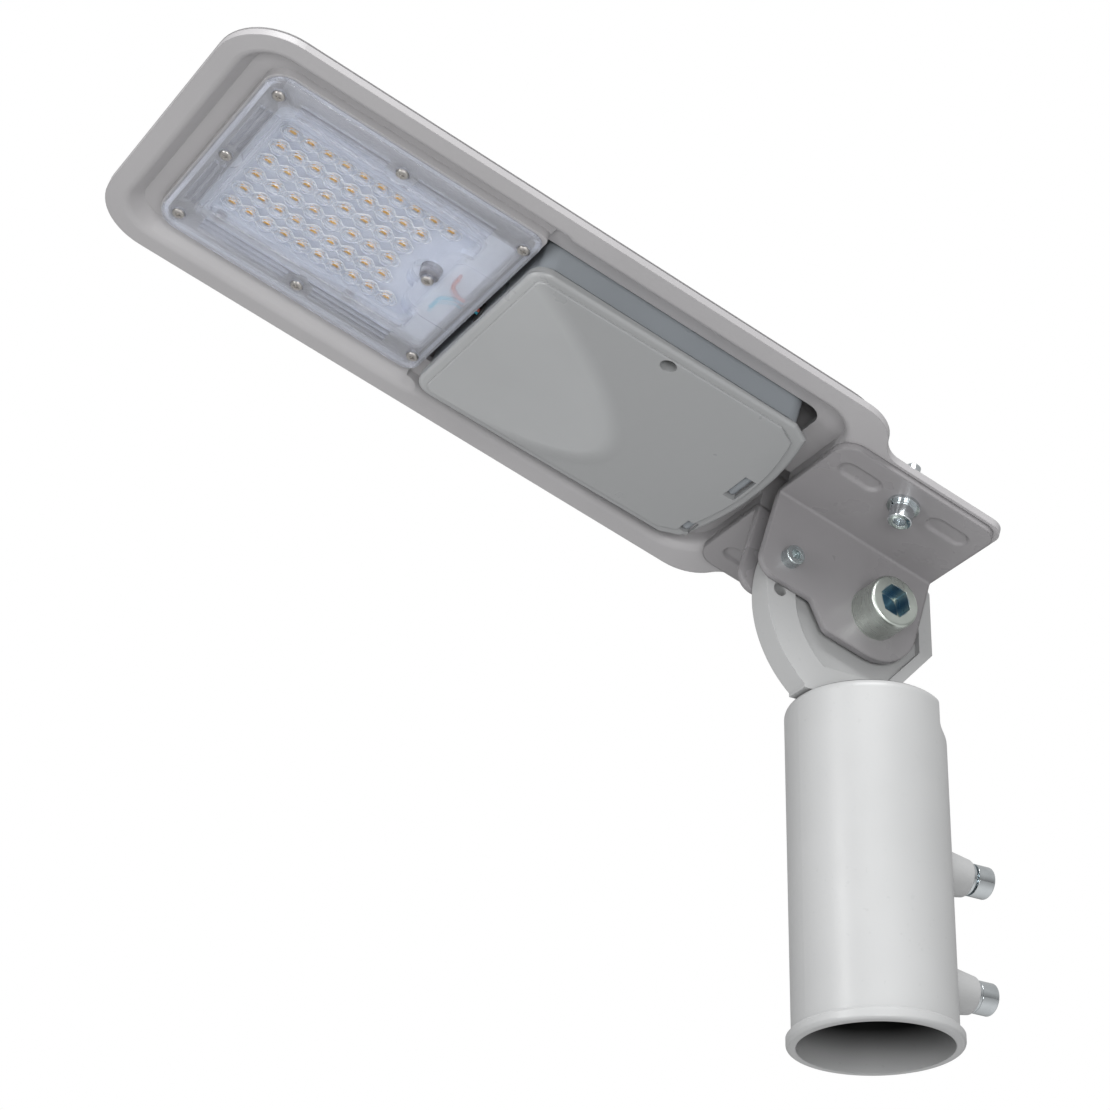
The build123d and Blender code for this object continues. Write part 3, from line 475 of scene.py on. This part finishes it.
class LAMP_OT_board(Operator):
    """Give the LED board and its chips their finish"""

    bl_idname = "lamp.board"
    bl_label = "LED board"

    def execute(self, context):
        mask = Shader("white_mask").set(Roughness=0.35)
        clouds = mask.remap(mask.noise(70.0), 0.35, 0.65)
        mask.colour(mask.blend_colour(clouds, (0.62, 0.65, 0.70), (0.70, 0.73, 0.77)))
        mask.bump(mask.noise(1500.0), 0.00002, 0.3)
        dress(mask.material, "led_board")
        body = plain_plastic("chip_body", (0.86, 0.84, 0.80), 0.3, 2000.0, 0.00001)
        dress(body, "led_chips")
        phosphor = Shader("phosphor").set(Roughness=0.35)
        spread = phosphor.remap(phosphor.noise(900.0), 0.35, 0.65)
        phosphor.colour(phosphor.blend_colour(spread, (1.0, 0.46, 0.01), (1.0, 0.55, 0.03)))
        self.faces(phosphor.material)
        return {"FINISHED"}

    def faces(self, material):
        """A soft-cornered phosphor pad on the face of every chip."""
        grown = bmesh.new()
        for low, high in chip_boxes():
            rim = PHOSPHOR_RIM
            profile = [(inset, low[2] + rise) for inset, rise in PHOSPHOR_STEPS]
            add_loft(grown, pad_rings(low[0] + rim, high[0] - rim, low[1] + rim, high[1] - rim,
                                      PHOSPHOR_CORNER, profile))
        on_head("phosphor_faces", grown, material)


def chip_boxes():
    """Low and high corners of every LED chip, in millimetres in the head's frame."""
    inverse = HEAD.inverted()
    chips = bmesh.new()
    chips.from_mesh(frame["nodes"]["led_chips"].data)
    left = set(chips.verts)
    boxes = []
    while left:
        island, stack = set(), [left.pop()]
        while stack:
            vert = stack.pop()
            island.add(vert)
            near = {edge.other_vert(vert) for edge in vert.link_edges} & left
            left -= near
            stack.extend(near)
        points = [inverse @ vert.co / MM for vert in island]
        boxes.append([[pick(p[i] for p in points) for i in range(3)] for pick in (min, max)])
    chips.free()
    return sorted(boxes)


def add_ring(grown, centre, radius, tube, sides=28, around=8):
    """A ring of round section lying across the head's Z."""
    loops = []
    for i in range(sides):
        turn = math.tau * i / sides
        loop = []
        for j in range(around):
            swing = math.tau * j / around
            out = radius + tube * math.cos(swing)
            loop.append(grown.verts.new((centre[0] + out * math.cos(turn),
                                         centre[1] + out * math.sin(turn),
                                         centre[2] + tube * math.sin(swing))))
        loops.append(loop)
    for i in range(sides):
        low, high = loops[i], loops[(i + 1) % sides]
        for j in range(around):
            k = (j + 1) % around
            grown.faces.new((low[j], low[k], high[k], high[j]))


class LAMP_OT_optics(Operator):
    """Give the lens plate its clear finish and paint highlight rings round its domes"""

    bl_idname = "lamp.optics"
    bl_label = "Lens plate"

    def execute(self, context):
        clear = Shader("clear_polycarbonate").set(
            Base_Color=(0.95, 0.96, 1.0, 1.0), IOR=1.45, Transmission_Weight=1.0)
        clear.bump(clear.noise(45.0), 0.00001, 0.06)
        frost = self.patch(clear, FROST, 3.0)
        window = self.patch(clear, WINDOW, 1.0)
        clear.roughness(clear.maths("ADD", clear.maths("MULTIPLY", frost, 0.22), 0.03))
        through = clear.node("ShaderNodeBsdfTransparent")
        through.inputs["Color"].default_value = (0.96, 0.97, 1.0, 1.0)
        haze = clear.node("ShaderNodeBsdfDiffuse")
        haze.inputs["Color"].default_value = (0.80, 0.83, 0.90, 1.0)
        open_share = clear.maths("ADD", clear.maths("MULTIPLY", window, 0.30), 0.50)
        open_share = clear.maths("ADD", open_share, clear.maths("MULTIPLY", frost, 0.15))
        body = self.mixed(clear, open_share, clear.principled.outputs[0], through.outputs[0])
        cloud = clear.maths("ADD", clear.maths("MULTIPLY", frost, 0.02), 0.13)
        cloud = clear.maths("SUBTRACT", cloud, clear.maths("MULTIPLY", window, 0.11))
        whole = self.mixed(clear, cloud, body, haze.outputs[0])
        clear.link(whole, clear.tree.nodes["Material Output"].inputs["Surface"])
        dress(clear.material, "lens_plate")
        self.dome_highlight_rings()
        return {"FINISHED"}

    def dome_highlight_rings(self):
        """Pale rings round the foot of each dome, painted highlights where the dome's edge catches the
        light.
        """
        pale = Shader("dome_highlight").set(Roughness=0.15)
        pale.colour(pale.blend_colour(pale.remap(pale.noise(400.0), 0.3, 0.7), (0.72, 0.75, 0.80),
                                      (0.86, 0.88, 0.92)))
        through = pale.node("ShaderNodeBsdfTransparent")
        whole = self.mixed(pale, 0.45, pale.principled.outputs[0], through.outputs[0])
        pale.link(whole, pale.tree.nodes["Material Output"].inputs["Surface"])
        grown = bmesh.new()
        for low, high in chip_boxes():
            middle = ((low[0] + high[0]) / 2, (low[1] + high[1]) / 2, DOME_FOOT_Z)
            # Each ring is a painted highlight at a dome's foot.
            add_ring(grown, middle, DOME_R, DOME_RING_R)
        on_head("dome_highlight_rings", grown, pale.material)

    def mixed(self, shader, factor, first, second):
        """A mix of two surfaces."""
        made = shader.node("ShaderNodeMixShader")
        if isinstance(factor, bpy.types.NodeSocket):
            shader.link(factor, made.inputs[0])
        else:
            made.inputs[0].default_value = factor
        shader.link(first, made.inputs[1])
        shader.link(second, made.inputs[2])
        return made.outputs[0]

    def patch(self, shader, area, corner):
        """One over a rounded patch of the plate, nought elsewhere."""
        x, y, z = shader.axes(HEAD)
        middle, half_x, half_y = area
        off_x = shader.maths("SUBTRACT", shader.maths("ABSOLUTE", shader.maths("SUBTRACT", x, middle)),
                             half_x)
        off_y = shader.maths("SUBTRACT", shader.maths("ABSOLUTE", y), half_y)
        return shader.remap(shader.maths("SMOOTH_MAX", off_x, off_y, corner), -2.0, 1.0, 1.0, 0.0)


def softbox(name, place, size, power):
    """A white rectangular light that faces the middle of the lamp."""
    data = bpy.data.lights.new(name, "AREA")
    data.shape = "RECTANGLE"
    data.size, data.size_y = size
    data.energy = power
    made = bpy.data.objects.new(name, data)
    made.location = place
    made.rotation_euler = (CENTRE - Vector(place)).to_track_quat("-Z", "Y").to_euler()
    bpy.context.scene.collection.objects.link(made)


class LAMP_OT_stage(Operator):
    """Put up the floor, the lights and the camera"""

    bl_idname = "lamp.stage"
    bl_label = "Stage"

    def execute(self, context):
        stage = context.scene.lamp_stage
        self.floor(stage.floor_drop)
        self.lights(stage.world_fill)
        self.camera(stage)
        context.scene.view_settings.view_transform = "Standard"
        return {"FINISHED"}

    def floor(self, drop):
        """A wide, plain, pale floor under the lamp."""
        mesh = bpy.data.meshes.new("studio_floor")
        grown = bmesh.new()
        bmesh.ops.create_grid(grown, x_segments=1, y_segments=1, size=6.0)
        grown.to_mesh(mesh)
        grown.free()
        floor = bpy.data.objects.new("studio_floor", mesh)
        floor.location = (CENTRE.x, CENTRE.y, -drop)
        bpy.context.scene.collection.objects.link(floor)
        matte = Shader("pale_floor").set(Base_Color=(0.84, 0.84, 0.84, 1.0), Roughness=0.8)
        mesh.materials.append(matte.material)

    def lights(self, fill):
        """A white room that is brighter above than below, and three softboxes."""
        world = bpy.data.worlds.new("studio")
        world.use_nodes = True
        tree = world.node_tree
        background = tree.nodes["Background"]
        background.inputs["Color"].default_value = (1.0, 1.0, 1.0, 1.0)
        seen = tree.nodes.new("ShaderNodeLightPath").outputs["Is Camera Ray"]
        direction = tree.nodes.new("ShaderNodeSeparateXYZ")
        tree.links.new(tree.nodes.new("ShaderNodeTexCoord").outputs["Generated"],
                       direction.inputs["Vector"])
        height = tree.nodes.new("ShaderNodeMapRange")
        shades = {"From Min": -0.35, "From Max": 0.45, "To Min": fill * 0.35, "To Max": fill * 2.0}
        for key, value in shades.items():
            height.inputs[key].default_value = value
        tree.links.new(direction.outputs["Z"], height.inputs["Value"])
        strength = tree.nodes.new("ShaderNodeMapRange")
        strength.inputs["To Max"].default_value = 1.0
        tree.links.new(height.outputs["Result"], strength.inputs["To Min"])
        tree.links.new(seen, strength.inputs["Value"])
        tree.links.new(strength.outputs["Result"], background.inputs["Strength"])
        bpy.context.scene.world = world
        softbox("top_softbox", (0.45, 1.0, 1.3), (1.0, 0.7), 25.0)
        softbox("side_strip", (1.35, 0.35, 0.15), (0.25, 1.1), 8.0)
        softbox("front_fill", (0.55, 1.25, -0.35), (0.8, 0.35), 11.0)

    def camera(self, stage):
        data = bpy.data.cameras.new("camera")
        data.lens = stage.lens
        data.sensor_width = 36.0
        data.clip_end = 20.0
        camera = bpy.data.objects.new("camera", data)
        turn = Matrix.Rotation(stage.azimuth + math.pi / 2, 4, "Z")
        turn @= Matrix.Rotation(math.pi / 2 - stage.elevation, 4, "X")
        turn @= Matrix.Rotation(stage.roll, 4, "Z")
        back = turn.to_3x3() @ Vector((0, 0, 1))
        camera.matrix_world = Matrix.Translation(Vector(stage.aim) + back * stage.distance) @ turn
        bpy.context.scene.collection.objects.link(camera)
        bpy.context.scene.camera = camera


class LAMP_PT_panel(Panel):
    """Sidebar panel that lists the steps"""

    bl_idname = "LAMP_PT_panel"
    bl_label = "Lamp head"
    bl_space_type = "VIEW_3D"
    bl_region_type = "UI"
    bl_category = "Lamp head"

    def draw(self, context):
        for operator in OPERATORS:
            self.layout.operator(operator.bl_idname)


SETTINGS = {"lamp_coats": CoatSettings, "lamp_stage": StageSettings}
OPERATORS = (LAMP_OT_stage, LAMP_OT_coats, LAMP_OT_fasteners, LAMP_OT_inner, LAMP_OT_board,
             LAMP_OT_optics)
CLASSES = (*SETTINGS.values(), *OPERATORS, LAMP_PT_panel)


def register():
    for each in CLASSES:
        bpy.utils.register_class(each)
    for name, group in SETTINGS.items():
        setattr(bpy.types.Scene, name, PointerProperty(type=group))


def unregister():
    for name in SETTINGS:
        delattr(bpy.types.Scene, name)
    for each in reversed(CLASSES):
        bpy.utils.unregister_class(each)


def main():
    register()
    for operator in OPERATORS:
        group, name = operator.bl_idname.split(".")
        getattr(getattr(bpy.ops, group), name)()


if __name__ == "__main__":
    main()
